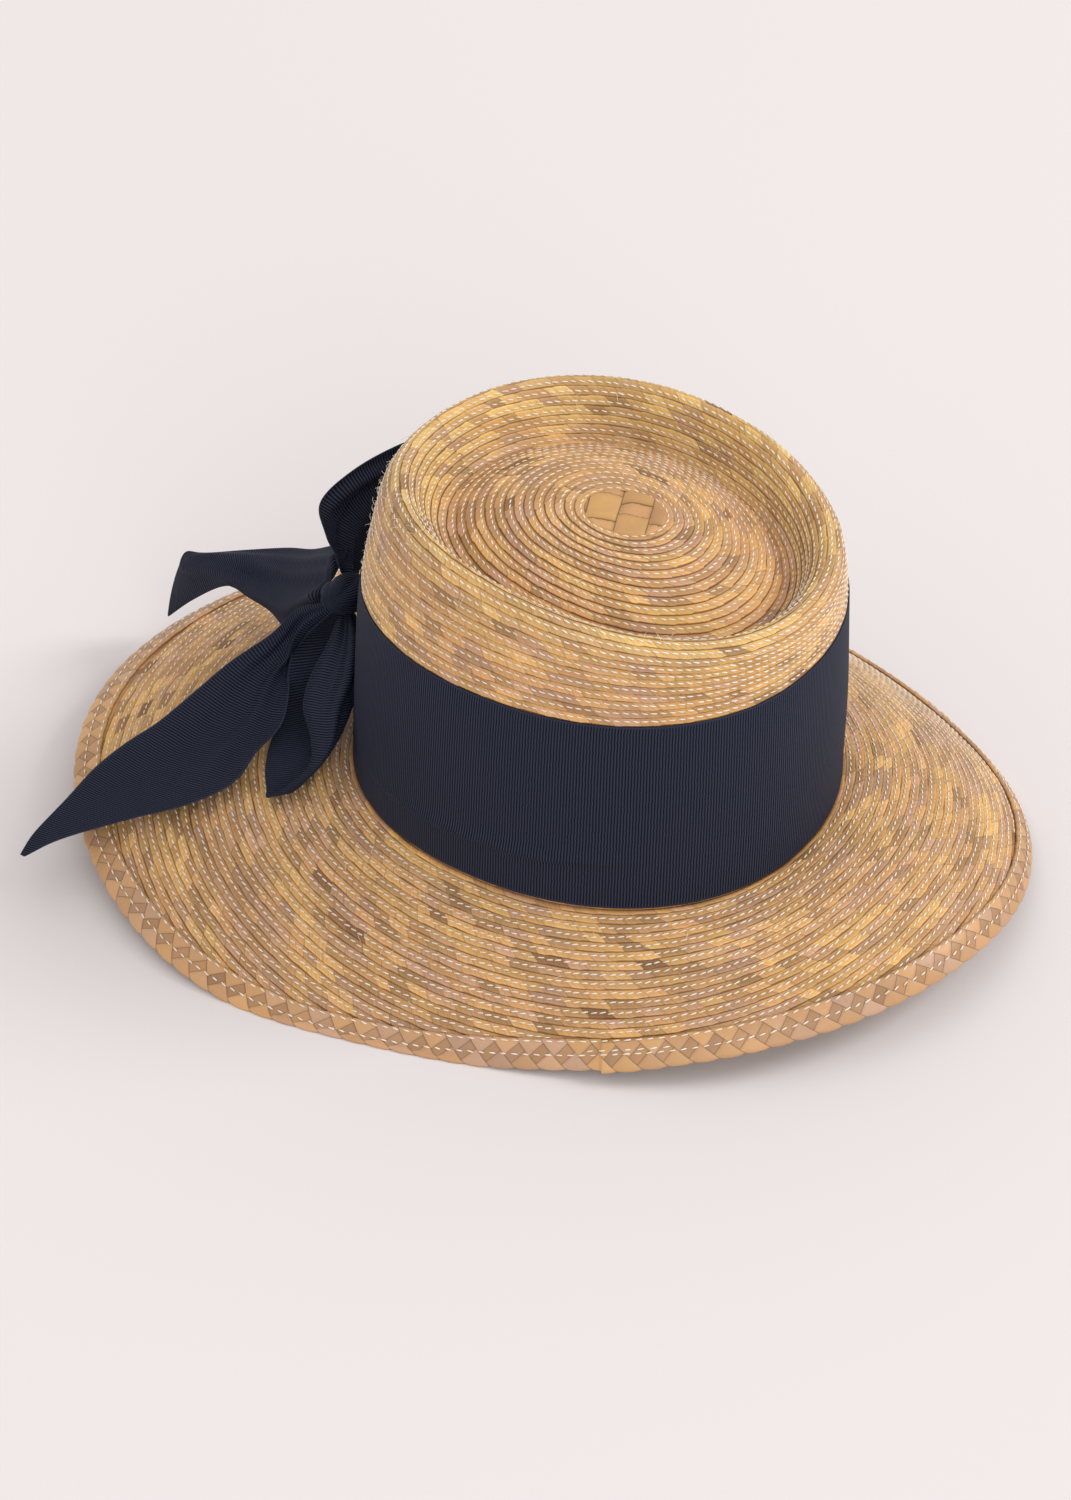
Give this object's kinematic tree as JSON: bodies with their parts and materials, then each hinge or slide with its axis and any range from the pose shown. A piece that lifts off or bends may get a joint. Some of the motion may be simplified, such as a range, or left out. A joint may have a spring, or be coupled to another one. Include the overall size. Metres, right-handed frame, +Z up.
{
  "type": "straw hat",
  "caption": "Wide-brim sun hat of sewn palm braid with a dished crown, a downturned brim and a wide dark ribbon tied in a bow at the back.",
  "frame": {"origin": "on the floor under the middle of the hat's overall box, with the hat resting on its brim", "axes": "+Z up, -Y to the front of the hat, the bow at the back towards +Y"},
  "size_m": [0.3238, 0.3784, 0.1675],
  "materials": {
    "straw": "sewn natural palm leaf braid, satin",
    "edge_straw": "wide flat palm leaf braid, satin",
    "ribbon": "navy grosgrain ribbon, matt"
  },
  "bodies": {
    "root": {"crown": "straw", "brim": "straw", "edge_braid": "edge_straw", "ribbon_band": "ribbon", "bow_knot": "ribbon", "bow_loop_far": "ribbon", "bow_loop_near": "ribbon", "bow_tail_front": "ribbon", "bow_tail_back": "ribbon"}
  },
  "joints": []
}
